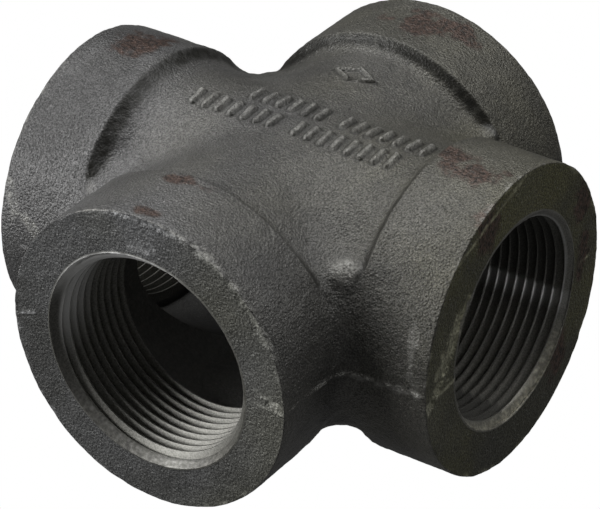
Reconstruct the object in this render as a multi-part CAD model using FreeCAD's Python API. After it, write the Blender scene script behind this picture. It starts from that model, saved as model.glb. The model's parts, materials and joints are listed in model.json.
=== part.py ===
import FreeCAD, Part

import math
import os

# A cross pipe fitting: one iron casting with four female taper-threaded ports in one plane.
# The origin is where the port axes cross. +X and +Y run along port axes and +Z is the marked face.

# Driving dimensions, in millimetres.
CENTRE_TO_END = 54.1        # from the crossing of the axes to each port's face
BAND_RADIUS = 34.04         # outside of the heavy band round each port
BAND_WIDTH = 19.05          # the band's length along the port axis
BODY_RADIUS = 31.0          # outside of the tube between the bands
CHAMBER_RADIUS = 24.65      # cored hollow inside the body
THREAD_LENGTH = 22.1        # tapped length, from the port's face to the chamber
PITCH = 25.4 / 11.5         # 1-1/2 inch taper pipe thread, 11.5 turns to the inch
TAPER = 1 / 32              # how much the thread's radius falls per millimetre inwards
ROOT_RADIUS = 24.03         # bottom of the thread groove at the port's face
CREST_RADIUS = 22.5         # bored wall that is left as the flat crest of the thread
MOUTH_RADIUS = 24.75        # the mouth's 45 degree chamfer, where it meets the port's face

# Shape of the casting.
RIM_ROUND = 1.2             # outer edge of each port's face
SHOULDER_ROUND = 1.4        # inner edge of each band
WEB_REACH = 49.5            # how far the filled corners between ports reach from the centre
WEB_HEIGHT = 30.9           # half height of that filling at the centre, just under the tubes' skin

# Raised marks on top: plain upright bars in two rows, and the outline of a lozenge. They carry no lettering.
MARK_RISE = 0.6
BAR_WIDTH = 1.3
BAR_LENGTH = 5.0
BAR_STEP = 3.3
GROUP_GAP = 2.9             # extra space between the two groups of a row
BAR_ROWS = ((3.8, -12.6, (6, 7)), (-3.8, -22.9, (7, 8)))    # y, first x, bars in each group
LOZENGE_AT = (0.0, 22.0)
LOZENGE_LONG = 9.0
LOZENGE_WIDE = 5.0
LOZENGE_INSIDE = 0.62       # size of the lozenge inside its raised line, as a share of its outside
MARK_ROOT = 28.0            # height inside the wall where the marks start

# The tool that cuts one thread.
HALF_FLANK = math.radians(30)   # half of the thread's 60 degree V
GROOVE_OVERLAP = 0.15       # how far the tool starts inside the bore
GROOVE_RUN_OUT = 2.4        # how far the tool runs past the port's face
GROOVE_RUN_IN = 1.2         # how far it runs on into the chamber
THREAD_START = 37           # where the tool starts round the axis, in degrees, clear of the bore's seam

BORE_RUN_IN = 10.0          # how far the bore's tool runs on into the chamber
BORE_RUN_OUT = 4.0          # how far the bore's tool runs past the port's face
PAST_FACE = 1.0             # how far the mouth's cone runs past the port's face

ORIGIN = FreeCAD.Vector(0, 0, 0)
X_AXIS = FreeCAD.Vector(1, 0, 0)
Y_AXIS = FreeCAD.Vector(0, 1, 0)
Z_AXIS = FreeCAD.Vector(0, 0, 1)
QUARTER_TURNS = (0, 90, 180, 270)


def turned(shape, angle):
    """A copy of shape, turned about +Z."""
    copy = shape.copy()
    copy.rotate(ORIGIN, Z_AXIS, angle)
    return copy


def arc_in_profile(x, z, radius, start, end):
    """An arc round (x, z) in the XZ plane, from angle start to angle end in degrees."""
    points = []
    for degrees in (start, (start + end) / 2, end):
        angle = math.radians(degrees)
        points.append(FreeCAD.Vector(x + radius * math.cos(angle), 0, z + radius * math.sin(angle)))
    return Part.Arc(*points).toShape()


def joined(edges):
    """The edges with straight lines put in wherever one ends away from the next."""
    path = [edges[0]]
    for edge in edges[1:]:
        gap_start = path[-1].valueAt(path[-1].LastParameter)
        gap_end = edge.valueAt(edge.FirstParameter)
        if gap_start.distanceToPoint(gap_end) > 1e-6:
            path.append(Part.makeLine(gap_start, gap_end))
        path.append(edge)
    return path


def run_outline():
    """Half of a run's lengthwise section: the tube, and the band at its +X end with its rounded edges."""
    band_start = CENTRE_TO_END - BAND_WIDTH
    foot_round = BAND_RADIUS - BODY_RADIUS - SHOULDER_ROUND
    tube = Part.makeLine(FreeCAD.Vector(0, 0, 0), FreeCAD.Vector(0, 0, BODY_RADIUS))
    foot = arc_in_profile(band_start - foot_round, BODY_RADIUS + foot_round, foot_round, 270, 360)
    shoulder_x = band_start + SHOULDER_ROUND
    shoulder = arc_in_profile(shoulder_x, BAND_RADIUS - SHOULDER_ROUND, SHOULDER_ROUND, 180, 90)
    rim = arc_in_profile(CENTRE_TO_END - RIM_ROUND, BAND_RADIUS - RIM_ROUND, RIM_ROUND, 90, 0)
    axis = Part.makeLine(FreeCAD.Vector(CENTRE_TO_END, 0, 0), FreeCAD.Vector(0, 0, 0))
    return Part.Wire(joined([tube, foot, shoulder, rim, axis]))


def run():
    """The solid outside of one straight run: two bands on one tube."""
    half = Part.Face(run_outline()).revolve(ORIGIN, X_AXIS, 360)
    return half.fuse(turned(half, 180)).removeSplitter()


def web():
    """The filling between the ports: a flattened ball that shows only in the four corners."""
    ball = Part.makeSphere(1.0, ORIGIN, X_AXIS)
    seam = ball.Faces[0].valueAt(0, 0)
    seam_angle = math.degrees(math.atan2(seam.z, seam.y))
    ball.rotate(ORIGIN, X_AXIS, 90 - seam_angle)
    stretch = FreeCAD.Matrix()
    stretch.scale(WEB_REACH, WEB_REACH, WEB_HEIGHT)
    return ball.transformGeometry(stretch)


def thread_tool():
    """A right-hand helical V that narrows inwards, along +X, for cutting one port's thread."""
    start = CENTRE_TO_END - THREAD_LENGTH - GROOVE_RUN_IN
    length = THREAD_LENGTH + GROOVE_RUN_IN + GROOVE_RUN_OUT
    start_root = ROOT_RADIUS - TAPER * (CENTRE_TO_END - start)
    helix = Part.makeHelix(PITCH, length, start_root, math.degrees(math.atan(TAPER)))
    inner = CREST_RADIUS - GROOVE_OVERLAP - TAPER * length
    half_width = (start_root - inner) * math.tan(HALF_FLANK)
    corners = [(start_root, 0), (inner, half_width), (inner, -half_width), (start_root, 0)]
    section = Part.makePolygon([FreeCAD.Vector(r, 0, z) for r, z in corners])
    tool = Part.Wire(helix).makePipeShell([section], True, True)
    tool.rotate(ORIGIN, Z_AXIS, THREAD_START)
    tool.translate(FreeCAD.Vector(0, 0, start))
    tool.rotate(ORIGIN, Y_AXIS, 90)
    return tool


def threaded_bore():
    """The bore of the +X port with its thread grooves, running past the face and into the chamber."""
    start = CENTRE_TO_END - THREAD_LENGTH - BORE_RUN_IN
    length = CENTRE_TO_END + BORE_RUN_OUT - start
    bore = Part.makeCylinder(CREST_RADIUS, length, FreeCAD.Vector(start, 0, 0), X_AXIS)
    return bore.fuse(thread_tool())


def mouth():
    """The cone that chamfers the +X port's mouth."""
    depth = MOUTH_RADIUS - CREST_RADIUS
    foot = FreeCAD.Vector(CENTRE_TO_END - depth, 0, 0)
    return Part.makeCone(CREST_RADIUS, MOUTH_RADIUS + PAST_FACE, depth + PAST_FACE, foot, X_AXIS)


def chamber():
    """The cored hollow of the run along X."""
    reach = CENTRE_TO_END - THREAD_LENGTH
    return Part.makeCylinder(CHAMBER_RADIUS, 2 * reach, FreeCAD.Vector(-reach, 0, 0), X_AXIS)


def hollows():
    """Everything cut from the casting, in an order in which each cut only meets simple skins."""
    bore = threaded_bore()
    run_chamber = chamber()
    cone = mouth()
    cuts = [turned(bore, angle) for angle in QUARTER_TURNS]
    cuts += [run_chamber, turned(run_chamber, 90)]
    cuts += [turned(cone, angle) for angle in QUARTER_TURNS]
    return cuts


def top_height(x, y):
    """Height of the tubes' skin above (x, y), near the middle of the top."""
    return math.sqrt(BODY_RADIUS ** 2 - min(abs(x), abs(y)) ** 2)


def raised_prism(outline, x, y):
    """A raised mark with the given outline round (x, y), standing MARK_RISE above the skin there."""
    corners = [FreeCAD.Vector(x + dx, y + dy, MARK_ROOT) for dx, dy in outline]
    face = Part.Face(Part.makePolygon(corners + corners[:1]))
    return face.extrude(Z_AXIS * (top_height(x, y) + MARK_RISE - MARK_ROOT))


def marks():
    """Rows of plain upright bars, and the outline of a lozenge behind them."""
    w = BAR_WIDTH / 2
    h = BAR_LENGTH / 2
    bar = ((-w, -h), (w, -h), (w, h), (-w, h))
    found = []
    for y, x, groups in BAR_ROWS:
        for count in groups:
            for _ in range(count):
                found.append(raised_prism(bar, x, y))
                x += BAR_STEP
            x += GROUP_GAP
    a = LOZENGE_LONG / 2
    b = LOZENGE_WIDE / 2
    lozenge = ((-a, 0), (0, -b), (a, 0), (0, b))
    inside = [(LOZENGE_INSIDE * x, LOZENGE_INSIDE * y) for x, y in lozenge]
    found.append(raised_prism(lozenge, *LOZENGE_AT).cut(raised_prism(inside, *LOZENGE_AT)))
    return found


def cross_body():
    casting = run().fuse([turned(run(), 90), web()]).removeSplitter().fuse(marks())
    for hollow in hollows():
        casting = casting.cut(hollow)
    return casting


def main():
    os.makedirs("parts", exist_ok=True)
    cross_body().exportStep("parts/cross_body.step")


main()
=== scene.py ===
"""The looks of the cross pipe fitting: a rough black iron casting with four machined, threaded ports.

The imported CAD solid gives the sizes. The casting is rebuilt here as one closed mesh, fine enough to carry
the sand-cast skin, the parting line, the raised marks, the knocks on the rims and the cut threads.
Lengths in the mesh code are millimetres, and the finished mesh is scaled to metres.
"""

import itertools
import json
import math

import bpy
import numpy as np
from mathutils import Matrix, Vector


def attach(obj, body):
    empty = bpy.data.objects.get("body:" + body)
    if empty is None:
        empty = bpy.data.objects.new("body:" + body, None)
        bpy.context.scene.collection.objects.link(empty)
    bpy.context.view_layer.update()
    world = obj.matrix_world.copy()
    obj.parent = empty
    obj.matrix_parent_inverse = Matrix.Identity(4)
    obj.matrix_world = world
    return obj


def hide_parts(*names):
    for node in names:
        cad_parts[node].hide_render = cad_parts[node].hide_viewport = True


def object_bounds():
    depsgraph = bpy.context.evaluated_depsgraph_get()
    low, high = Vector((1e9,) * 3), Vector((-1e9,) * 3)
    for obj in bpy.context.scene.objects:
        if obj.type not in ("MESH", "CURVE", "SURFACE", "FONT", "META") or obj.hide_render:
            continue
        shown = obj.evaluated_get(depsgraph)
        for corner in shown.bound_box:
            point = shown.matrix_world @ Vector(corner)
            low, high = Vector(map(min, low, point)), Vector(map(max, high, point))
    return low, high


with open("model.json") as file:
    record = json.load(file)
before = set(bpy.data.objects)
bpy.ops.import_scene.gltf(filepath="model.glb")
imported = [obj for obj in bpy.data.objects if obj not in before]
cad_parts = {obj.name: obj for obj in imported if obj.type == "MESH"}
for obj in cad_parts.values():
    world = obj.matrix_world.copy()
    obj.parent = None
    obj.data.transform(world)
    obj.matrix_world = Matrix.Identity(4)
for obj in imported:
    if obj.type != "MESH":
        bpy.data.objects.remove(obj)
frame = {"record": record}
cad_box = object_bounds()

MM = 1000.0
low_corner = np.array(cad_box[0]) * MM
high_corner = np.array(cad_box[1]) * MM
ports = [mount for mount in frame["record"]["mounts"] if mount["kind"] == "threaded_hole"]

# Sizes of the casting, worked out from the frame.
END = (high_corner[0] - low_corner[0]) / 2          # centre to port face
BAND = (high_corner[2] - low_corner[2]) / 2         # radius of the bands
BORE = ports[0]["dims"]["r_mm"]                     # bored wall at the foot of the mouth's chamfer
TUBE = 0.911 * BAND                                 # radius of the tubes between the bands
BAND_START = END - 0.56 * BAND                      # where each band's top edge begins
SHOULDER = 0.14                                     # rounding at the top of each step, in shares of its rise
RIM = 0.3                                           # rounding of each port's outer rim
CHAMBER = 1.0955 * BORE                             # radius of the cored hollow
THREAD_DEPTH = 22.1                                 # tapped length

# The thread: 11.5 turns to the inch, narrowing by 1 in 32 on the radius.
PITCH = 25.4 / 11.5
TAPER = 1 / 32
ROOT = 1.068 * BORE                                 # bottom of the groove at the face
THREAD_HEIGHT = 1.56                                # from groove bottom to crest
ROOT_FLAT = 0.02                                    # half width of the groove's bottom, in pitches
FLANK_END = ROOT_FLAT + THREAD_HEIGHT * math.tan(math.radians(30)) / PITCH

# The steps from tube to band, in quarter turns from the right port: the slope's length and how hollow it is.
STEPS = ((4.6, 2.8), (4.6, 2.8), (7.0, 2.1), (4.6, 2.8))
STEP_WIDTH = max(width for width, _ in STEPS)
STEP_LAG = 0.2                                      # how far past the start of its band each slope ends

# How each port came off the machine, in quarter turns from the right port: radius of the countersunk mouth,
# how far it is off centre sideways and up, and the turn at which the thread's groove leaves the face.
MOUTHS = (
    (1.036 * BORE, 0.013 * BORE, -0.034 * BORE, 1.21),
    (1.070 * BORE, 0.0, -0.013 * BORE, 0.80),
    (1.070 * BORE, 0.004 * BORE, -0.013 * BORE, 1.45),
    (1.096 * BORE, -0.012 * BORE, -0.015 * BORE, 0.60),
)

# The filling between the ports.
FILLET = 5.7                                        # softness of the corner between two runs
FILLET_FADE = 0.15                                  # how soon it dies out towards the top of the crossing
BLEND_END = END - 8                                 # how far out the runs' blending is worked out
FILLED_LEAN = (40, 64)                              # degrees from the top over which the tubes swell


# ---------------------------------------------------------------- random fields

def lattice_random(cell, seed):
    """A repeatable random number from -1 to 1 for each row of whole-number lattice places."""
    n = cell[:, 0] * 73856093 ^ cell[:, 1] * 19349663 ^ cell[:, 2] * 83492791 ^ seed * 49979687
    n = (n ^ (n >> 13)) * 1274126177 & 0xFFFFFFFF
    n = (n ^ (n >> 15)) * 668265263 & 0xFFFFFFFF
    return ((n >> 8) & 0xFFFF) / 32767.5 - 1.0


def noise(points, size, seed):
    """A smooth random field with features about size across, mostly between -1 and 1."""
    angle = 0.7 + seed
    c, s = math.cos(angle), math.sin(angle)
    tilt = np.array([[c, -s, 0], [s * 0.8, c * 0.8, -0.6], [s * 0.6, c * 0.6, 0.8]])
    q = points @ tilt.T / size
    cell = np.floor(q).astype(np.int64)
    f = q - cell
    f = f * f * f * (f * (f * 6 - 15) + 10)
    total = np.zeros(len(points))
    for corner in itertools.product((0, 1), repeat=3):
        weight = np.prod(np.where(corner, f, 1 - f), axis=1)
        total += weight * lattice_random(cell + np.array(corner), seed)
    return total


def ramp(value, start, end):
    """Rises smoothly from 0 at start to 1 at end."""
    t = np.clip((value - start) / (end - start), 0, 1)
    return t * t * (3 - 2 * t)


# ---------------------------------------------------------------- the smooth shape of the casting

def step_rise(along, run):
    """From 0 on the tubes to 1 on the bands: a hollow slope, then a crisp band edge."""
    width = np.where(along > 0, STEPS[run][0], STEPS[run + 2][0])
    power = np.where(along > 0, STEPS[run][1], STEPS[run + 2][1])
    slope = np.clip((np.abs(along) - BAND_START + width - STEP_LAG) / width, 0, 1.4) ** power
    return soft_union(slope, 1.0, SHOULDER)


def side_rise(across, up):
    """From 0 on a run's top to 1 on its sides, where the filling brings the tubes out to the bands."""
    lean = np.degrees(np.arctan2(np.abs(across), np.abs(up)))
    return ramp(lean, *FILLED_LEAN)


def run_radius(run, along, across, up):
    """Radius of a run's outside. Run 0 joins the right and left ports, and run 1 the back and front ones."""
    left = (1 - step_rise(along, run)) * (1 - side_rise(across, up))
    return BAND - (BAND - TUBE) * left


def soft_union(a, b, k):
    """The union of two solids given as signed distances, with a fillet of about k where they meet."""
    k = np.maximum(k, 1e-6)
    h = np.clip(0.5 + 0.5 * (b - a) / k, 0, 1)
    return b + (a - b) * h - k * h * (1 - h)


def run_distance(run, along, across, up):
    """Signed distance from the outside of a run."""
    radius = run_radius(run, along, across, up)
    step = 0.05
    rise = run_radius(run, along + step, across, up) - run_radius(run, along - step, across, up)
    lean = rise / (2 * step)
    return (np.hypot(across, up) - radius) / np.sqrt(1 + lean * lean)


def casting_distance(p):
    """Roughly the distance of each point from the casting's outside, negative inside."""
    x, y, z = p.T
    shared = z * z / (np.hypot(y, z) * np.hypot(x, z))
    fillet = FILLET * (1 - np.exp(-(1 - shared) / FILLET_FADE))
    return soft_union(run_distance(0, x, y, z), run_distance(1, y, x, z), fillet)


def slope_of(field, p):
    """The field's slope at each point, from its values a little to each side."""
    step = 0.01
    slope = np.zeros_like(p)
    for axis in range(3):
        offset = np.zeros(3)
        offset[axis] = step
        slope[:, axis] = (field(p + offset) - field(p - offset)) / (2 * step)
    return slope


def settled(p):
    """The points moved onto the casting's outside, in short steps."""
    longest = 1.5
    for _ in range(10):
        slope = slope_of(casting_distance, p)
        steep = np.maximum(np.sum(slope * slope, axis=1), 0.2)
        move = casting_distance(p) / steep
        p = p - np.clip(move, -longest, longest)[:, None] * slope
    return p


# ---------------------------------------------------------------- the mesh

# Spans of angle from the top of a port to its bottom (degrees), and how many vertices each has: they are
# closer together at the marks and the parting line.
ANGLE_SPANS = ((0, 17, 38), (17, 86, 72), (86, 94, 22), (94, 180, 80))

# How many rows each part of a port has.
NEAR_ROWS = 98                                      # skin from the middle to the foot of the band
BAND_ROWS = 28
RIM_ROWS = 4
FACE_ROWS = 24
HOLLOW_ROWS = 22


def half_turn():
    """Angles from the top of a port to its bottom."""
    spans = [np.linspace(start, end, count, endpoint=end == 180) for start, end, count in ANGLE_SPANS]
    return np.radians(np.concatenate(spans))


HALF = half_turn()
ANGLES = np.concatenate([-HALF[:0:-1], HALF[:-1]])
SKIN, FACE, THREAD, HOLLOW = range(4)


class Strip:
    """One port's mesh, from the outer corner between the ports, over the rim and in to the hollow's corner.

    Each row goes once round the port's axis, and each is joined to the row before it.
    """

    def __init__(self, mouth):
        self.mouth = mouth
        self.points = []
        self.zones = []
        self.faces = []
        self.count = 0
        self.last = None

    def add(self, x, radius, angles, zone):
        """Adds a row's vertices and returns their numbers, without joining them to anything."""
        x = np.broadcast_to(x, angles.shape)
        radius = np.broadcast_to(radius, angles.shape)
        self.points.append(np.stack([x, radius * np.sin(angles), radius * np.cos(angles)], axis=1))
        self.zones.append(np.full(len(angles), zone))
        numbers = self.count + np.arange(len(angles))
        self.count += len(angles)
        return numbers

    def row(self, x, radius, angles, zone):
        """Adds a row and joins it to the last one, which has as many vertices or twice as many."""
        new = self.add(x, radius, angles, zone)
        if self.last is not None:
            old = self.last
            if len(old) == 2 * len(new):
                self.halve(old, new)
            else:
                self.quads(old, np.roll(old, -1), np.roll(new, -1), new)
        self.last = new

    def quads(self, a, b, c, d):
        self.faces.append(np.stack([a, b, c, d], axis=1))

    def halve(self, fine, coarse):
        """Joins a row to one that keeps every second vertex, with three triangles to a step."""
        first, middle = fine[0::2], fine[1::2]
        after = np.roll(first, -1)
        coarse_after = np.roll(coarse, -1)
        self.quads(first, middle, coarse, coarse)
        self.quads(middle, after, coarse_after, coarse_after)
        self.quads(middle, coarse_after, coarse, coarse)


def skin_steps():
    """Places along the skin from the middle (0) to the rim's rounding (1), closer where detail is."""
    detail_end = (BAND_START + STEP_WIDTH) / (END - RIM)
    near = np.linspace(0, detail_end, NEAR_ROWS, endpoint=False)
    far = np.linspace(detail_end, 1, BAND_ROWS)
    return np.concatenate([near, far])


def add_skin(strip):
    corner = TUBE * np.abs(np.sin(ANGLES))
    for step in skin_steps():
        x = corner + step * (END - RIM - corner)
        radius = run_radius(0, x, np.sin(ANGLES), np.cos(ANGLES))
        strip.row(x, radius, ANGLES, SKIN)
    for turn in np.radians(np.linspace(0, 90, RIM_ROWS + 1)[1:]):
        strip.row(END - RIM + RIM * math.sin(turn), BAND - RIM + RIM * math.cos(turn), ANGLES, SKIN)


def add_face(strip):
    start = strip.mouth[3]
    edge = thread_radius(END, ANGLES / (2 * math.pi) - start, ANGLES, strip.mouth)
    for share in np.linspace(0, 1, FACE_ROWS + 2)[1:-1]:
        strip.row(END, (BAND - RIM) * (1 - share) + edge * share, ANGLES, FACE)


def thread_radius(x, phase, angles, mouth):
    """Radius of the cut wall at x, where phase counts pitches along the axis from a groove's bottom."""
    root = ROOT - TAPER * (END - x)
    from_root = np.abs(phase - np.round(phase))
    rise = np.clip((from_root - ROOT_FLAT) / (FLANK_END - ROOT_FLAT), 0, 1)
    radius, aside, above, _ = mouth
    countersink = radius + aside * np.sin(angles) + above * np.cos(angles) - (END - x)
    return np.maximum(root - THREAD_HEIGHT * rise, countersink)


def add_thread(strip):
    """Rows that climb with the helix, so that each runs along a crest, a flank or a groove.

    A row that starts before the face or ends past the shoulder is held at that end, which closes the grid.
    """
    angles = ANGLES[::2]
    phases = np.array([-ROOT_FLAT, ROOT_FLAT, 0.16, 0.3, FLANK_END, 0.5, 1 - FLANK_END, 0.7, 0.84])
    per_turn = len(phases)
    climb = -angles / (2 * math.pi)
    start = strip.mouth[3]
    shoulder = END - THREAD_DEPTH
    turns = math.ceil(THREAD_DEPTH / PITCH) + 2
    rows = []
    for j in range(turns * per_turn):
        phase = start - j // per_turn - phases[j % per_turn]
        x = np.clip(END + PITCH * (phase + climb), shoulder, END)
        phase_here = (x - END) / PITCH - climb - start
        rows.append(strip.add(x, thread_radius(x, phase_here, angles, strip.mouth), angles, THREAD))
    strip.halve(strip.last, rows[0])
    last_row = len(rows) - 1
    for j in range(last_row):
        here, below = rows[j], rows[j + 1]
        wrapped = rows[min(j + per_turn, last_row)]
        wrapped_below = rows[min(j + 1 + per_turn, last_row)]
        after = np.append(here[1:], wrapped[0])
        below_after = np.append(below[1:], wrapped_below[0])
        strip.quads(here, after, below_after, below)
    strip.last = rows[-1]


def add_hollow(strip):
    """The shoulder behind the thread and the cored wall up to the corner where the hollows cross."""
    angles = ANGLES[::2]
    shoulder = END - THREAD_DEPTH
    corner = CHAMBER * np.abs(np.sin(angles))
    bevel_width, bevel_depth = 0.3, 0.2
    strip.row(shoulder, CHAMBER - bevel_width, angles, HOLLOW)
    for step in np.linspace(0, 1, HOLLOW_ROWS):
        strip.row(shoulder - bevel_depth + step * (corner - shoulder + bevel_depth), CHAMBER, angles, HOLLOW)


def turned(points, quarter):
    """Points turned about +Z by whole quarters."""
    for _ in range(quarter):
        points = np.stack([-points[:, 1], points[:, 0], points[:, 2]], axis=1)
    return points


def welded(points, zones, faces):
    """Joins vertices that share a place, and drops faces that have shrunk to nothing."""
    keys = np.floor(points * 1000 + 0.3127).astype(np.int64)
    _, first, number = np.unique(keys, axis=0, return_index=True, return_inverse=True)
    faces = number.reshape(-1)[faces]
    same = faces == np.roll(faces, -1, axis=1)
    shared = same.sum(axis=1)
    whole = faces[shared == 0]
    crossed = (whole[:, 0] == whole[:, 2]) | (whole[:, 1] == whole[:, 3])
    quads = whole[~crossed]
    one = faces[shared == 1]
    triangles = one[~same[shared == 1]].reshape(-1, 3)
    real = (triangles[:, 0] != triangles[:, 1]) & (triangles[:, 1] != triangles[:, 2])
    real &= triangles[:, 0] != triangles[:, 2]
    return points[first], zones[first], quads, triangles[real]


def casting_grid():
    """Vertices, zones, quads and triangles of the whole smooth casting."""
    points, zones, faces = [], [], []
    count = 0
    for quarter, mouth in enumerate(MOUTHS):
        strip = Strip(mouth)
        add_skin(strip)
        add_face(strip)
        add_thread(strip)
        add_hollow(strip)
        points.append(turned(np.concatenate(strip.points), quarter))
        zones.append(np.concatenate(strip.zones))
        faces.append(np.concatenate(strip.faces) + count)
        count += strip.count
    points, zones, quads, triangles = welded(*(np.concatenate(part) for part in (points, zones, faces)))
    blended = (zones == SKIN) & (np.max(np.abs(points[:, :2]), axis=1) < BLEND_END)
    points[blended] = settled(points[blended])
    return points, zones, quads, triangles


# ---------------------------------------------------------------- relief

# Each call of noise below has its own seed, so that no two fields repeat one another.

# The cast skin: size of the lumps in each field, their height, and how much higher they are where the sand
# burnt on (mm).
CAST_FIELDS = ((11.0, 0.08, 0.0), (4.2, 0.04, 0.08), (1.9, 0.035, 0.06), (0.95, 0.03, 0.045))
BURNT_FROM = (10, 22)                               # it comes in this far from the nearer run's middle
FLASH_HEIGHT = 0.6                                  # the bead along the parting line
FLASH_HALF_WIDTH = 0.42
FLASH_GROOVE = 0.12                                 # its trace on the port faces
SKIN_SUNK = 0.05                                    # how far the skin and the faces are set inwards
FACE_SUNK = 0.1
SKIN_CHIP = 0.245                                   # depth of the chips in the skin and in the faces
FACE_CHIP = 0.28
BEAD_HEIGHT = 0.5
SHARP_FROM = 40                                     # degrees between faces from which their edge stays sharp
RIM_REACH = 0.8                                     # how far the wear on the rims spreads

# Rusty places: where (in shares of the frame's half sizes) and how far each reaches (mm).
RUST_PATCHES = (
    ((-0.82, 0.10, 0.98), (10, 9, 9)),
    ((0.02, 0.82, 0.98), (10, 7, 9)),
    ((0.16, 0.90, 0.96), (9, 5, 9)),
    ((0.70, 0.02, 1.0), (8, 5, 9)),
    ((0.84, -0.06, 1.0), (10, 6, 9)),
    ((-0.01, -0.695, 1.0), (7.5, 3.0, 6)),
    ((-0.01, -0.95, 1.0), (5, 2.4, 5)),
    ((1.0, 0.51, 0.1), (4, 4, 9)),
    ((1.0, 0.50, 0.42), (4, 5, 9)),
    ((1.0, 0.34, -0.52), (4, 6, 9)),
    ((1.0, -0.22, 0.8), (4, 6, 7)),
)
# Knocked and broken places: from where to where, and how wide.
KNOCKS = (
    ((1.0, -0.37, 0.34), (1.0, -0.50, 0.12), 3.4),
    ((1.0, -0.33, 0.45), (1.0, -0.37, 0.38), 1.8),
    ((1.0, -0.52, 0.02), (1.0, -0.60, -0.10), 1.8),
    ((-0.12, -1.0, 0.98), (0.20, -1.0, 0.965), 1.1),
    ((0.22, -1.0, 0.96), (0.35, -1.0, 0.86), 2.6),
    ((0.36, -1.0, 0.86), (0.50, -1.0, 0.56), 1.3),
    ((0.51, -1.0, 0.54), (0.55, -1.0, 0.44), 2.2),
    ((0.50, -1.0, 0.10), (0.60, -1.0, 0.02), 1.6),
)
# Places rubbed bare without being broken, and the last one a painted highlight.
RUBS_AND_HIGHLIGHTS = (
    ((-0.97, -0.57, 0.36), (-0.93, -0.60, 0.22), 2.6),
    ((-0.88, -0.61, 0.20), (-0.80, -0.62, 0.12), 2.2),
    ((-0.06, -1.0, 0.78), (0.04, -1.0, 0.80), 1.8),
    ((-0.52, -1.0, 0.81), (-0.12, -1.0, 0.97), 0.9),
    ((1.0, -0.50, 0.70), (1.0, 0.05, 0.98), 0.8),
    ((1.0, -0.40, 0.36), (1.0, -0.52, 0.10), 3.4),
    ((0.66, -0.62, -0.02), (0.92, -0.63, 0.0), 1.6),
    # Painted highlight: a lit patch low on the right port's band, near its rim.
    ((0.91, -0.57, 0.38), (0.95, -0.63, 0.0), 2.0),
)
# Slow changes of tone, laid on as painted light and painted shade: where, how far each reaches (mm), and how
# much lighter or darker.
TONES = (
    ((0.0, -0.85, 1.0), (18, 13, 10), 0.9),
    ((-0.85, -0.10, 0.9), (14, 22, 14), -0.9),
    ((0.86, 0.05, 1.0), (12, 14, 9), 1.0),
    ((-0.42, -0.25, 0.9), (16, 14, 10), 0.9),
    ((-0.90, -0.35, 0.8), (16, 16, 16), -0.7),
    ((-0.92, -0.10, 0.97), (5, 7, 6), 0.6),
    ((-0.70, -0.02, 1.0), (6, 5, 5), 1.0),
    ((-0.94, -0.22, 0.94), (5, 5, 5), 0.8),
    # Painted light on the right of the front port's face and at its top, painted shade on its left.
    ((0.52, -1.0, 0.0), (9, 3, 20), 1.2),
    ((0.05, -1.0, 0.88), (16, 3, 8), 0.5),
    ((-0.50, -1.0, 0.0), (10, 3, 24), -0.4),
    # Painted light on the top of the right port's face, painted shade on its bottom.
    ((1.0, 0.10, 0.85), (3, 24, 12), 2.2),
    ((1.0, 0.10, -0.80), (3, 26, 16), -1.2),
    # Painted highlight low on the front side of the right port's band.
    ((0.80, -0.58, -0.15), (16, 8, 12), 1.3),
    # Painted shade in the corner between the front and right ports.
    ((0.50, -0.62, -0.10), (10, 10, 22), -1.0),
)
# Beads of metal left standing on the port faces.
BEADS = (
    ((1.0, -0.56, -0.06), (1.0, -0.43, -0.04), 0.9),
    ((-0.53, -1.0, 0.04), (-0.60, -1.0, 0.0), 0.7),
)
# Lumps where the steps run out into the corners between the ports: place, height and reach (mm). Their tops
# are also made lighter in colour, as a painted highlight.
LUMPS = (
    ((0.575, -0.520, 0.550), 1.3, 4.8),
    ((-0.590, -0.545, 0.520), 0.6, 3.2),
    ((0.505, 0.620, 0.580), 0.8, 2.8),
    ((-0.56, 0.58, 0.55), 0.5, 3.0),
)

# The raised marks on top: rows of plain upright bars (y, first x, bars in each group), and an open lozenge.
BAR_HALF_WIDTH = 0.62
BAR_HALF_LENGTH = 2.45
BAR_CORNER = 0.5
BAR_STEP = 3.3
GROUP_GAP = 2.9
BAR_ROWS = ((3.8, -12.6, (6, 7)), (-3.8, -22.9, (7, 8)))
LOZENGE_Y = 22.0
LOZENGE_HALF_LONG = 4.6
LOZENGE_HALF_WIDE = 2.6
LOZENGE_HALF_LINE = 0.22
MARK_RISE = 0.95
MARK_EDGE = (-0.2, 0.3)                             # where a mark's side starts and ends, across its edge
FAR = 9.0                                           # stands for "nowhere near a mark"


def rounded_box_distance(x, y, half_width, half_length, corner):
    dx = np.abs(x) - half_width + corner
    dy = np.abs(y) - half_length + corner
    outside = np.hypot(np.maximum(dx, 0), np.maximum(dy, 0))
    return outside + np.minimum(np.maximum(dx, dy), 0) - corner


def mark_distance(p):
    """Distance across the top from the edge of the nearest mark: plain upright bars and an open lozenge."""
    x, y, z = p.T
    nearest = np.full(len(p), FAR)
    for row_y, bar_x, groups in BAR_ROWS:
        for count in groups:
            for _ in range(count):
                gap = rounded_box_distance(x - bar_x, y - row_y, BAR_HALF_WIDTH, BAR_HALF_LENGTH, BAR_CORNER)
                nearest = np.minimum(nearest, gap)
                bar_x += BAR_STEP
            bar_x += GROUP_GAP
    lean = math.hypot(LOZENGE_HALF_LONG, LOZENGE_HALF_WIDE) / (LOZENGE_HALF_LONG * LOZENGE_HALF_WIDE)
    lozenge = (np.abs(x) / LOZENGE_HALF_LONG + np.abs(y - LOZENGE_Y) / LOZENGE_HALF_WIDE - 1) / lean
    nearest = np.minimum(nearest, np.abs(lozenge) - LOZENGE_HALF_LINE)
    return np.where(z > BAND / 2, nearest, FAR)


def mark_relief(p):
    """From 0 off the raised marks to 1 on them."""
    return 1 - ramp(mark_distance(p), *MARK_EDGE)


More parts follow.
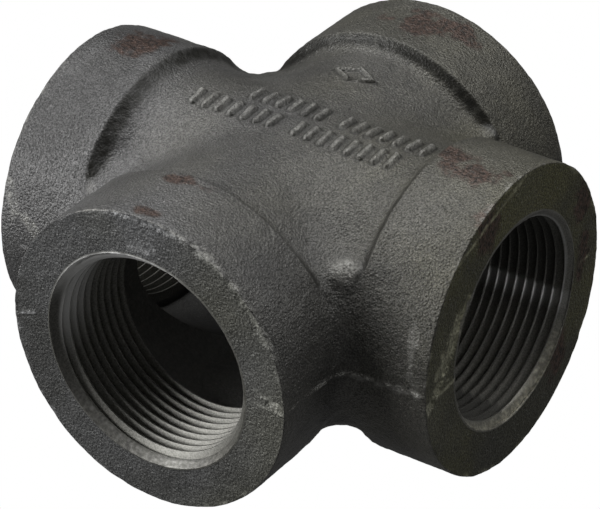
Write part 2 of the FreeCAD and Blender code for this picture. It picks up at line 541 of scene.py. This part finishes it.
def port_place(p):
    """For each point, how far out it is along the nearest port's axis, and its radius from that axis."""
    x, y, z = np.abs(p).T
    out = np.maximum(x, y)
    return out, np.hypot(np.minimum(x, y), z)


def turn_right(p):
    """Degrees round the right port's axis, from its top towards the back."""
    return np.degrees(np.arctan2(p[:, 1], p[:, 2]))


def turn_front(p):
    """Degrees round the front port's axis, from its top towards the left."""
    return np.degrees(np.arctan2(-p[:, 0], p[:, 2]))


def between(value, start, full, fade, gone):
    """From 0 at start up to 1 at full, and from 1 at fade back to 0 at gone."""
    return ramp(value, start, full) * (1 - ramp(value, fade, gone))


def near_rim(p):
    """From 1 on the outer rims to 0 a little way off them."""
    out, radius = port_place(p)
    return np.exp(-((END - out) ** 2 + (BAND - radius) ** 2) / RIM_REACH ** 2)


def near_lines(p, lines):
    """From 1 on the lines to 0 at their reach. Line ends are in shares of the frame's half sizes."""
    share = np.zeros(len(p))
    for start, end, reach in lines:
        start, end = np.array(start) * high_corner, np.array(end) * high_corner
        along = np.clip((p - start) @ (end - start) / max(np.dot(end - start, end - start), 1e-9), 0, 1)
        gap = np.linalg.norm(p - start - along[:, None] * (end - start), axis=1)
        share = np.maximum(share, np.clip(1 - gap / reach, 0, 1))
    return share


def knocks(p):
    """Broken and chipped places, 1 in their middle."""
    near = near_lines(p, KNOCKS)
    return ramp(near + 0.5 * noise(p, 1.3, 26), 0.3, 0.7) * ramp(near, 0, 0.2)


def lumps(p):
    """Height of the lumps at the corners between the ports, in millimetres."""
    height = np.zeros(len(p))
    for place, rise, reach in LUMPS:
        height += rise * ramp(blob(p, place, (reach, reach, reach)), 0, 0.9)
    return height


def flash(p):
    """The bead of metal squeezed out along the parting line, in broken lengths."""
    bead = np.clip(0.5 + 0.7 * noise(p, 7.0, 5) + 0.6 * noise(p, 1.4, 27), 0, 1)
    return bead * np.exp(-(p[:, 2] / FLASH_HALF_WIDTH) ** 2)


def roughness_place(p):
    """Where the sand burnt on and left the skin coarser: the corners between the ports."""
    out, _ = port_place(p)
    corner = ramp(np.minimum(np.abs(p[:, 0]), np.abs(p[:, 1])), *BURNT_FROM)
    return corner * (1 - 0.8 * ramp(out, BAND_START, END - 6))


def skin_relief(p, worn_or_lit, broken):
    """How far the cast skin stands out from the smooth casting."""
    coarse = roughness_place(p)
    cast = np.zeros(len(p))
    for seed, (size, height, burnt) in enumerate(CAST_FIELDS, 1):
        cast += (height + burnt * coarse) * noise(p, size, seed)
    marks = MARK_RISE * mark_relief(p) * (0.9 + 0.2 * noise(p, 1.6, 6))
    bead = FLASH_HEIGHT * flash(p) * (1 - near_rim(p))
    return cast + bead + marks + lumps(p) - SKIN_SUNK - worn_or_lit - SKIN_CHIP * broken


def face_relief(p, worn_or_lit, broken):
    """How far the port faces stand out, with their beads and the trace of the parting line."""
    radius = port_place(p)[1]
    bead = BEAD_HEIGHT * ramp(near_lines(p, BEADS), 0, 0.8)
    trace = FLASH_GROOVE * np.exp(-(p[:, 2] / 0.4) ** 2) * ramp(radius, 0.8 * BAND, 0.9 * BAND)
    grain = 0.05 * noise(p, 3.0, 7) + 0.06 * noise(p, 1.2, 8)
    return grain + bead - trace - FACE_SUNK - worn_or_lit - FACE_CHIP * broken


def cut_relief(p):
    """The faint roughness of the cut threads, and the nibbled edge of each mouth."""
    lip = ramp(port_place(p)[0], END - 1.6, END)
    return 0.012 * noise(p, 1.2, 9) + lip * (0.08 * noise(p, 1.5, 30) + 0.05 * noise(p, 0.7, 38))


def relief(p, zones):
    """How far each vertex stands out from the smooth casting, in millimetres."""
    broken = knocks(p) * (1 + noise(p, 1.1, 36))
    nibbled = 0.07 * np.clip(noise(p, 2.6, 28), 0, 1) + 0.05 * noise(p, 1.0, 29)
    worn_or_lit = near_rim(p) * (0.04 + nibbled)
    hollow = 0.15 * noise(p, 6.0, 10) + 0.08 * noise(p, 2.0, 11)
    skin = skin_relief(p, worn_or_lit, broken)
    face = face_relief(p, worn_or_lit, broken)
    return np.choose(zones, [skin, face, cut_relief(p), hollow])


def vertex_normals(points, quads, triangles):
    """Average of the faces round each vertex, weighted by their area."""
    normals = np.zeros_like(points)
    triples = np.concatenate([quads[:, [0, 1, 2]], quads[:, [0, 2, 3]], triangles])
    a, b, c = (points[triples[:, i]] for i in range(3))
    flat = np.cross(b - a, c - a)
    for i in range(3):
        for axis in range(3):
            normals[:, axis] += np.bincount(triples[:, i], flat[:, axis], len(points))
    length = np.linalg.norm(normals, axis=1, keepdims=True)
    volume = np.sum(a * np.cross(b, c)) / 6
    return normals / np.maximum(length, 1e-9), volume


# ---------------------------------------------------------------- where the surface changes

SHADE_REACH = 1.3                                    # how far the painted shade spreads from the bands
LEFT_SHADE_REACH = 2.4
MARK_FOOT = 0.35                                    # how far off a mark its painted shade is strongest, and its spread
MARK_FOOT_SPREAD = 0.32
SINK = (END - 2.0, END - 1.2)                       # where the mouths' countersinks come in, along the ports
LEFT_CREST = 0.0                                    # how much lighter than the grooves the crests of the left and right ports are,
RIGHT_CREST = 0.48                                  # against the other two; the left port's crests stay at the grooves' tone as painted shade

# Degrees round a port from its top, as turn_right and turn_front count them: each of these comes in between
# its first two figures and goes between its last two.
SHADED_SINK_TURN = (45, 80, 125, 145)                 # painted shade on the front port's countersink
STREAK_TURN = (102, 104.5, 107, 117)                # the painted reflection along the right port's wall, a bright streak
RING_TURN = (-20, 20, 100, 130)                     # lighter crests at the right port's mouth
LIT_THREADS_TURN = (-35, 0, 80, 115)                       # painted light on the threads behind the front port's mouth
RIGHT_SHADE_END = (100, 150)                          # where the right port's painted shade ends
BARE_LIT_SINK_FROM = (112, 142)                         # where the countersinks' lighter undersides begin: bare metal, lighter only below, as painted light


def blob(p, place, reach):
    """From 1 at a place, given in shares of the frame's half sizes, to 0 at the edge of its reach."""
    centre = np.array(place) * high_corner
    return np.clip(1 - np.linalg.norm((p - centre) / np.array(reach), axis=1), 0, 1)


def rust_share(p):
    """Where the black skin has been rubbed off and the iron has rusted."""
    patches = np.zeros(len(p))
    for place, reach in RUST_PATCHES:
        patches = np.maximum(patches, blob(p, place, reach))
    broken = 0.55 * noise(p, 5.0, 21) + 0.45 * noise(p, 1.7, 22)
    return ramp(patches + 0.6 * broken, 0.25, 0.6) * ramp(patches, 0, 0.1)


def olive_share(p):
    """The oily varnish, thicker towards the right and rear ports."""
    x, y, _ = p.T
    return np.clip(0.45 + x / 90 + y / 130 + 0.25 * noise(p, 14.0, 23), 0, 1)


def skin_painted_shade(p):
    """Painted shade in the slopes up to the bands and at the feet of the marks."""
    out, radius = port_place(p)
    rise = (radius - TUBE) / (BAND - TUBE)
    reach = np.where(p[:, 0] < -BAND_START / 2, LEFT_SHADE_REACH, SHADE_REACH)
    near_edge = np.exp(-((out - BAND_START + 0.45 * reach) / reach) ** 2)
    on_slope = between(rise, 0.06, 0.4, 0.93, 1.0) * near_edge
    feet = 0.9 * np.exp(-((mark_distance(p) - MARK_FOOT) / MARK_FOOT_SPREAD) ** 2)
    return np.clip((on_slope + feet) * (0.9 + 0.35 * noise(p, 1.2, 35)), 0, 1)


def painted_shade_share(p, zones):
    """Painted shade on the skin, on the front countersink, in the right port and in the left run."""
    x, y, _ = p.T
    out, _ = port_place(p)
    left_run = x < -np.abs(y)
    left_bore = left_run * ramp(END + x, 3, 6)
    right_bore = (x > np.abs(y)) * ramp(END - x, 2, 4) * (1 - ramp(turn_right(p), *RIGHT_SHADE_END))
    shaded_sink = (y < -np.abs(x)) * ramp(out, *SINK) * between(turn_front(p), *SHADED_SINK_TURN)
    in_threads = 0.35 * left_bore + 0.45 * shaded_sink + 0.55 * right_bore
    return np.choose(zones, [skin_painted_shade(p), 0, in_threads, 0.75 * left_run])


def tone_and_painted_light_share(p):
    """Slow changes of tone over the skin and the faces, 0 dark to 1 light: random tone, and painted light
    and painted shade from the tone patches.
    """
    tone = 0.5 + 0.3 * noise(p, 9.0, 24) + 0.25 * noise(p, 3.2, 25)
    for place, reach, change in TONES:
        tone += change * blob(p, place, reach)
    return np.clip(tone, 0, 1)


def crest_share(p, zones):
    """From 0 at the bottom of the thread's grooves to 1 on its crests."""
    out, radius = port_place(p)
    root = ROOT - TAPER * (END - out)
    height = np.clip((root - radius) / THREAD_HEIGHT, 0, 1)
    x, y = p[:, 0], p[:, 1]
    # The left port's crests are kept at the grooves' tone, as painted shade deep in the bore.
    crest_lightness = np.where(x < -np.abs(y), LEFT_CREST, np.where(x > np.abs(y), RIGHT_CREST, 1))
    return np.where(zones == THREAD, height * crest_lightness, 0)


def bare_and_highlight_share(p, zones):
    """Bare metal and painted highlights: chips, the worn rims, the tops of the marks, and the mouths'
    countersinks; the marks' tops are worn bare and lighter as a painted highlight, the corner lumps and a
    place on the right port's band get painted highlights, and only the lower part of each countersink is
    lighter, as painted light.
    """
    out, radius = port_place(p)
    sunk = (zones == THREAD) * (1 - ramp(END - out, 1.2, 1.9))
    sunk = sunk * ramp(radius + END - out, BORE + 0.25, BORE + 0.7)
    # Only the lower part of each countersink is made lighter, as painted light.
    low = ramp(np.degrees(np.arccos(np.clip(p[:, 2] / radius, -1, 1))), *BARE_LIT_SINK_FROM)
    worn_or_lit = near_rim(p) * ramp(noise(p, 2.2, 31) + 0.6 * noise(p, 0.9, 32), 0.25, 0.9)
    bead = flash(p) * ramp(noise(p, 1.8, 33), -0.2, 0.6)
    bright = knocks(p) + ramp(near_lines(p, RUBS_AND_HIGHLIGHTS) + 0.3 * noise(p, 1.6, 37), 0.2, 0.6)
    specks = bright * np.clip(0.7 + 0.7 * noise(p, 1.0, 34), 0, 1) + ramp(near_lines(p, BEADS), 0.2, 0.8)
    # The marks' tops are worn bare and lighter as a painted highlight; the lumps' tops are lighter as a
    # painted highlight.
    rubbed_and_lit = 0.6 * mark_relief(p) + ramp(lumps(p), 0.2, 1.2)
    return np.clip(sunk * low + worn_or_lit + bead + specks + rubbed_and_lit, 0, 1)


def thread_lightening_share(p, zones):
    """Lighter thread metal: a painted reflection in a streak along the right port's wall, lighter first
    crests in the right port, and painted light on the threads behind the front port's mouth.
    """
    out, _ = port_place(p)
    right = p[:, 0] > END - THREAD_DEPTH - 1
    front = p[:, 1] < -(END - THREAD_DEPTH - 1)
    crests = ramp(crest_share(p, zones), 0.4, 0.48)
    # Painted reflection: a bright streak along the right port's wall.
    streak = right * between(turn_right(p), *STREAK_TURN) * (0.22 + 0.78 * crests)
    ring = right * ramp(out, END - 2.6, END - 1.4) * between(turn_right(p), *RING_TURN) * crests
    # Painted light on the threads behind the front port's mouth.
    worn_or_lit = front * ramp(out, END - 13, END - 4) * between(turn_front(p), *LIT_THREADS_TURN)
    # Kept off the front countersink's painted shade.
    dull = ramp(out, *SINK) * ramp(turn_front(p), *SHADED_SINK_TURN[:2])
    return np.where(zones == THREAD, 0.75 * streak + 0.4 * ring + 0.85 * worn_or_lit * (1 - dull), 0)


def store(mesh, name, values):
    """Keeps a value for every vertex, for the materials to read."""
    attribute = mesh.attributes.new(name, "FLOAT", "POINT")
    attribute.data.foreach_set("value", values.astype(np.float32))


def build_casting():
    """The casting as one closed mesh, held inside the frame's box."""
    points, zones, quads, triangles = casting_grid()
    normals, volume = vertex_normals(points, quads, triangles)
    if volume < 0:
        quads, triangles, normals = quads[:, ::-1], triangles[:, ::-1], -normals
    moved = points + normals * relief(points, zones)[:, None]
    inside = np.clip(moved, low_corner, high_corner)
    mesh = bpy.data.meshes.new("casting")
    mesh.from_pydata(inside / MM, [], quads.tolist() + triangles.tolist())
    mesh.shade_smooth()
    mesh.set_sharp_from_angle(angle=math.radians(SHARP_FROM))
    inner = np.concatenate([zones[quads].max(axis=1), zones[triangles].max(axis=1)])
    mesh.polygons.foreach_set("material_index", inner.astype(np.int32))
    for name, share in (("rust", rust_share), ("olive", olive_share), ("tone_and_painted_light", tone_and_painted_light_share)):
        store(mesh, name, share(points))
    for name, share in (("painted_shade", painted_shade_share), ("crest", crest_share), ("bare_and_highlight", bare_and_highlight_share)):
        store(mesh, name, share(points, zones))
    store(mesh, "thread_lightening", thread_lightening_share(points, zones))
    casting = bpy.data.objects.new("casting", mesh)
    bpy.context.scene.collection.objects.link(casting)
    return casting


casting = build_casting()
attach(casting, "root")
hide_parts("cross_body")


# ---------------------------------------------------------------- materials

def feed(tree, socket, value):
    """Joins the socket to another node's output, or sets it to a plain value."""
    if isinstance(value, bpy.types.NodeSocket):
        tree.links.new(value, socket)
    else:
        socket.default_value = value


def add_node(tree, kind, **inputs):
    """A node of the kind named, with its inputs set by name, or by number as in _0."""
    node = tree.nodes.new(kind)
    for name, value in inputs.items():
        feed(tree, node.inputs[int(name[1:]) if name[1:].isdigit() else name.replace("_", " ")], value)
    return node


def add_mix(tree, share, first, second, blend="MIX"):
    """The colour first, mixed towards second by share."""
    node = tree.nodes.new("ShaderNodeMix")
    node.data_type = "RGBA"
    node.blend_type = blend
    for number, value in ((0, share), (6, first), (7, second)):
        feed(tree, node.inputs[number], value)
    return node.outputs[2]


def add_math(tree, operation, first, second):
    node = add_node(tree, "ShaderNodeMath", _0=first, _1=second)
    node.operation = operation
    return node.outputs[0]


def add_span(tree, value, low, high, start=0.0, end=1.0):
    """Maps value from low..high onto start..end, held at both ends."""
    node = add_node(tree, "ShaderNodeMapRange", _0=value, _1=low, _2=high, _3=start, _4=end)
    return node.outputs[0]


def add_noise(tree, grain_mm, detail=2.0):
    """Noise fixed to the part, with grains of about the size given."""
    place = add_node(tree, "ShaderNodeTexCoord").outputs["Object"]
    node = add_node(tree, "ShaderNodeTexNoise", Vector=place, Scale=MM / grain_mm, Detail=detail)
    return node.outputs["Fac"]


def attribute(tree, name):
    """One of the values stored for every vertex."""
    node = tree.nodes.new("ShaderNodeAttribute")
    node.attribute_name = name
    return node.outputs["Fac"]


def grey(value, warm=0.0, olive=0.0):
    """A grey of the value given, turned a little towards brown or towards olive."""
    return (value, value * (1 - 0.3 * warm), value * (1 - 0.6 * warm - 0.3 * olive), 1)


def new_material(name):
    material = bpy.data.materials.new(name)
    material.use_nodes = True
    return material, material.node_tree, material.node_tree.nodes["Principled BSDF"]


def connect(tree, surface, **inputs):
    for name, value in inputs.items():
        feed(tree, surface.inputs[name.replace("_", " ")], value)


def add_cells(tree, size_mm):
    """Distance from the middle of the nearest of many small scattered cells, in cells."""
    place = add_node(tree, "ShaderNodeTexCoord").outputs["Object"]
    return add_node(tree, "ShaderNodeTexVoronoi", Vector=place, Scale=MM / size_mm).outputs["Distance"]


def grain_bump(tree, coarse_mm, fine_mm, depth_mm):
    """Fine relief of cast sand: rounded grains with pits between them, made about half as deep where the
    painted shade lies.
    """
    grains = add_span(tree, add_cells(tree, coarse_mm), 0.1, 0.7, 1.0, 0.0)
    fine = add_noise(tree, fine_mm, 1.0)
    swell = add_noise(tree, 3 * coarse_mm, 2.0)
    height = add_math(tree, "MULTIPLY", grains, 0.35)
    height = add_math(tree, "ADD", height, add_math(tree, "MULTIPLY", fine, 0.6))
    height = add_math(tree, "ADD", height, add_math(tree, "MULTIPLY", swell, 0.5))
    strength = add_span(tree, attribute(tree, "painted_shade"), 0, 1, 1, 0.45)
    bump = add_node(tree, "ShaderNodeBump", Strength=strength, Distance=depth_mm / MM, Height=height)
    return height, bump.outputs[0]


def speckled(tree, colour, size_mm, low, high):
    """The colour made lighter and darker from grain to grain."""
    tone = add_span(tree, add_noise(tree, size_mm, 0.0), 0.3, 0.7, low, high)
    shades = add_node(tree, "ShaderNodeCombineXYZ", X=tone, Y=tone, Z=tone).outputs[0]
    return add_mix(tree, 1.0, colour, shades, "MULTIPLY")


def bare_and_highlight_over(tree, colour, bare_and_lit, most):
    """The colour, with bare metal over it in specks where the casting has lost its skin, and in painted
    highlights.
    """
    specks = add_span(tree, add_noise(tree, 0.7, 2.0), 0.4, 0.6, 0.35, 1.0)
    share = add_math(tree, "MULTIPLY", add_math(tree, "MULTIPLY", attribute(tree, "bare_and_highlight"), specks), most)
    return add_mix(tree, share, colour, bare_and_lit)


def pinholes(tree, colour):
    """The colour with a few small dark holes in it, in loose groups."""
    hole = add_span(tree, add_cells(tree, 2.6), 0.07, 0.12, 1.0, 0.0)
    group = add_span(tree, add_noise(tree, 9.0, 1.0), 0.5, 0.6, 0.0, 0.85)
    return add_mix(tree, add_math(tree, "MULTIPLY", hole, group), colour, grey(0.012))


def toned_and_lit(tree, colour, most, dark):
    """The colour, turned dark by most of the way where the tone is lowest: random tone, and painted light
    and painted shade.
    """
    return add_mix(tree, add_span(tree, attribute(tree, "tone_and_painted_light"), 0, 1, most, 0), colour, dark)


def rusted(tree, colour):
    """The colour, with brown rust over it in dark and light crumbs."""
    crumbs = add_span(tree, add_noise(tree, 0.8, 3.0), 0.38, 0.62)
    brown = add_mix(tree, crumbs, (0.022, 0.014, 0.011, 1), (0.12, 0.074, 0.057, 1))
    return add_mix(tree, add_math(tree, "MULTIPLY", attribute(tree, "rust"), 0.9), colour, brown)


def skin_material():
    """Black iron as cast, oiled: dark grey to olive, with lighter grains and a few rusty rubs, painted light
    and shade in its tone, painted shade on the slopes up to the bands and at the marks' feet, and painted
    highlights among the bare specks.
    """
    material, tree, surface = new_material("black_iron_skin")
    _, bump = grain_bump(tree, 0.62, 0.3, 0.30)
    plain = add_mix(tree, attribute(tree, "olive"), grey(0.141, 0.03), grey(0.129, 0.13, 0.6))
    toned = toned_and_lit(tree, plain, 0.58, grey(0.05, 0.05))
    grained = rusted(tree, speckled(tree, toned, 0.34, 0.6, 1.5))
    # Painted shade, near black, on the slopes up to the bands and at the marks' feet.
    shaded = add_mix(tree, attribute(tree, "painted_shade"), grained, grey(0.018, 0.1, 0.6))
    colour = pinholes(tree, bare_and_highlight_over(tree, shaded, grey(0.46, 0.04, 0.2), 0.75))
    connect(tree, surface, Base_Color=colour, Roughness=0.42, Metallic=0.35, Normal=bump)
    connect(tree, surface, Coat_Weight=0.25, Coat_Roughness=0.3, Coat_Normal=bump)
    return material


def face_material():
    """The port faces: rough, with bright crumbs of broken grain, and painted light and painted shade in
    their tone.
    """
    material, tree, surface = new_material("black_iron_face")
    _, bump = grain_bump(tree, 0.72, 0.35, 0.28)
    plain = add_mix(tree, attribute(tree, "olive"), grey(0.146, -0.03), grey(0.122, 0.10, 1.5))
    toned = toned_and_lit(tree, plain, 0.75, grey(0.05, 0.0, 0.3))
    grained = speckled(tree, toned, 0.36, 0.5, 1.6)
    crumbs = add_span(tree, add_noise(tree, 0.55, 2.0), 0.6, 0.72, 0.0, 0.5)
    crumbled = rusted(tree, add_mix(tree, crumbs, grained, grey(0.3, 0.0, 0.2)))
    bare_and_lit = add_mix(tree, attribute(tree, "olive"), grey(0.45, -0.03), grey(0.6, 0.06, 1.0))
    colour = bare_and_highlight_over(tree, crumbled, bare_and_lit, 0.8)
    connect(tree, surface, Base_Color=colour, Roughness=0.5, Metallic=0.3, Normal=bump)
    return material


def cut_material():
    """Tapped metal: bright where it is bare, a little darker in the grooves, near black in painted shade in
    the bores, and light on some threads: a painted reflection, painted light and lighter first crests.
    """
    material, tree, surface = new_material("black_iron_cut")
    _, bump = grain_bump(tree, 0.55, 0.25, 0.015)
    # A little darker in the grooves than on the crests.
    dull = add_mix(tree, attribute(tree, "crest"), grey(0.2, 0.05, 0.3), grey(0.25, 0.05, 0.25))
    mottled = speckled(tree, dull, 0.34, 0.75, 1.25)
    bare_and_lit = add_mix(tree, attribute(tree, "olive"), grey(0.28, 0.06, 0.15), grey(0.45, 0.14, 0.5))
    bared_and_lit = bare_and_highlight_over(tree, mottled, speckled(tree, bare_and_lit, 0.8, 0.55, 1.3), 0.9)
    # Painted shade, near black, deep in the left and right ports and on the front countersink.
    shaded = add_mix(tree, attribute(tree, "painted_shade"), bared_and_lit, grey(0.01))
    # Painted reflection and painted light on the threads, and lighter first crests in the right port.
    colour = add_mix(tree, attribute(tree, "thread_lightening"), shaded, grey(0.9, 0.0, 0.05))
    dulled = add_span(tree, attribute(tree, "painted_shade"), 0, 1, 0.42, 0.8)
    connect(tree, surface, Base_Color=colour, Roughness=dulled, Metallic=0.45, Normal=bump)
    return material


def hollow_material():
    """The cored hollow, dark and rough, near black in painted shade in the left run."""
    material, tree, surface = new_material("black_iron_core")
    height, bump = grain_bump(tree, 0.9, 0.4, 0.3)
    plain = add_mix(tree, height, grey(0.08, 0.05), grey(0.19, 0.05, 0.2))
    colour = add_mix(tree, attribute(tree, "painted_shade"), plain, grey(0.01))
    connect(tree, surface, Base_Color=colour, Roughness=0.7, Metallic=0.1, Normal=bump)
    return material


for make in (skin_material, face_material, cut_material, hollow_material):
    casting.data.materials.append(make())


# ---------------------------------------------------------------- stage, light and camera

def seen_and_unseen(tree, seen, unseen):
    """A shader that the camera sees as one thing, while the light meets another."""
    ray = tree.nodes.new("ShaderNodeLightPath").outputs["Is Camera Ray"]
    return add_node(tree, "ShaderNodeMixShader", _0=ray, _1=unseen, _2=seen).outputs[0]


def direction(azimuth, elevation):
    """The way from the middle of the part to a place, from its angles as in SOFT_BOXES."""
    azimuth, elevation = math.radians(azimuth), math.radians(elevation)
    return Vector((
        -math.sin(azimuth) * math.cos(elevation),
        -math.cos(azimuth) * math.cos(elevation),
        math.sin(elevation),
    ))


def add_floor():
    """A white sweep that the camera sees as plain white, and that throws only a little light upwards."""
    bpy.ops.mesh.primitive_plane_add(size=8, location=(0, 0, cad_box[0][2] - FLOOR_GAP / MM))
    floor = bpy.context.object
    floor.name = "floor"
    paper, tree, surface = new_material("paper")
    tree.nodes.remove(surface)
    seen = add_node(tree, "ShaderNodeEmission", Strength=1.0).outputs[0]
    unseen = add_node(tree, "ShaderNodeEmission", Strength=FLOOR_GLOW).outputs[0]
    both = seen_and_unseen(tree, seen, unseen)
    tree.links.new(both, tree.nodes["Material Output"].inputs["Surface"])
    floor.data.materials.append(paper)


# Soft boxes round the part: name, degrees from the front port towards the left one, degrees up,
# distance (m), side of the box (m) and power (W).
SOFT_BOXES = (
    ("key", 96, 51, 1.2, 0.35, 4.5),
    ("behind top", 180, 68, 1.0, 0.7, 3.2),
    ("front left", 45, 12, 1.0, 0.7, 8.2),
    ("overhead", 0, 89, 1.0, 0.7, 1.1),
    ("right", 236, 38, 1.0, 0.7, 1.75),
    ("camera side", 325, 32, 1.0, 0.7, 0.08),
)
FLOOR_GLOW = 0.09
FLOOR_GAP = 0.1                                     # between the part and the floor
WORLD_GLOW = 0.03


def add_soft_box(name, azimuth, elevation, distance, side, power):
    """A square lamp that faces the middle of the part."""
    outward = direction(azimuth, elevation)
    light = bpy.data.lights.new(name, "AREA")
    light.size = side
    light.energy = power
    lamp = bpy.data.objects.new(name, light)
    lamp.location = outward * distance
    lamp.rotation_euler = (-outward).to_track_quat("-Z", "Y").to_euler()
    bpy.context.scene.collection.objects.link(lamp)


def add_world():
    """Plain white to the camera, and a faint glow on the part."""
    world = bpy.data.worlds.new("studio")
    world.use_nodes = True
    tree = world.node_tree
    seen = add_node(tree, "ShaderNodeBackground", Color=(1, 1, 1, 1), Strength=1.0).outputs[0]
    unseen = add_node(tree, "ShaderNodeBackground", Color=(1, 1, 1, 1), Strength=WORLD_GLOW).outputs[0]
    both = seen_and_unseen(tree, seen, unseen)
    tree.links.new(both, tree.nodes["World Output"].inputs["Surface"])
    bpy.context.scene.world = world


def add_camera():
    """A long lens looking down between the front and right ports."""
    distance = 12.273 * END / MM
    roll = math.radians(-0.59)
    back = direction(-34.86, 32.01)
    level = Vector((0, 0, 1)).cross(back).normalized()
    upright = back.cross(level)
    right = math.cos(roll) * level + math.sin(roll) * upright
    up = math.cos(roll) * upright - math.sin(roll) * level
    data = bpy.data.cameras.new("camera")
    data.lens = 186.1
    data.shift_x = 0.0034
    data.shift_y = -0.0186
    camera = bpy.data.objects.new("camera", data)
    camera.matrix_world = Matrix((right, up, back)).transposed().to_4x4()
    camera.location = back * distance
    bpy.context.scene.collection.objects.link(camera)
    bpy.context.scene.camera = camera


add_floor()
add_world()
for box in SOFT_BOXES:
    add_soft_box(*box)
add_camera()
bpy.context.scene.view_settings.view_transform = "Standard"
